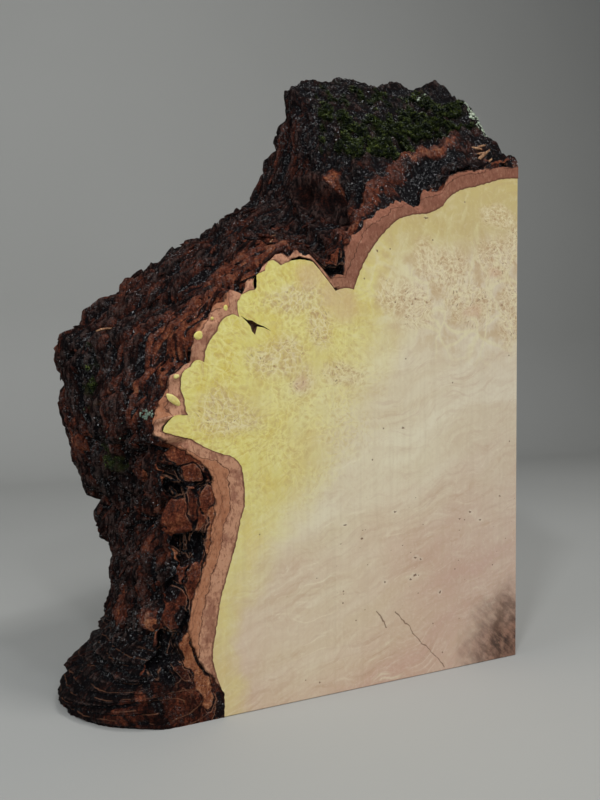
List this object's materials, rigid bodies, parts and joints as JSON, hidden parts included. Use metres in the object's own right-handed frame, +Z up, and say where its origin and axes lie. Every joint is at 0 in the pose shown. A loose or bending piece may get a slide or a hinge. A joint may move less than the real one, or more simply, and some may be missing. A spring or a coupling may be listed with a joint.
{
  "type": "maple burl turning blank",
  "caption": "Standing slab of maple burl sawn flat on its broad faces, base and one side, with rough mossy bark left on its curved side and top.",
  "frame": {"origin": "middle of the base, on the surface that it stands on", "axes": "+Z up, -Y out of the broad front face, +X out of the straight sawn side"},
  "size_m": [0.186, 0.06, 0.2696],
  "materials": {
    "wood": "smooth sawn and oiled-looking burl maple, cream with yellow margins and tan figure",
    "bark": "wet, rough, dark red-brown to black bark",
    "moss": "short dark green moss",
    "lichen": "pale grey-green crusts and flakes"
  },
  "bodies": {
    "root": {"maple_blank": "wood"}
  },
  "joints": []
}
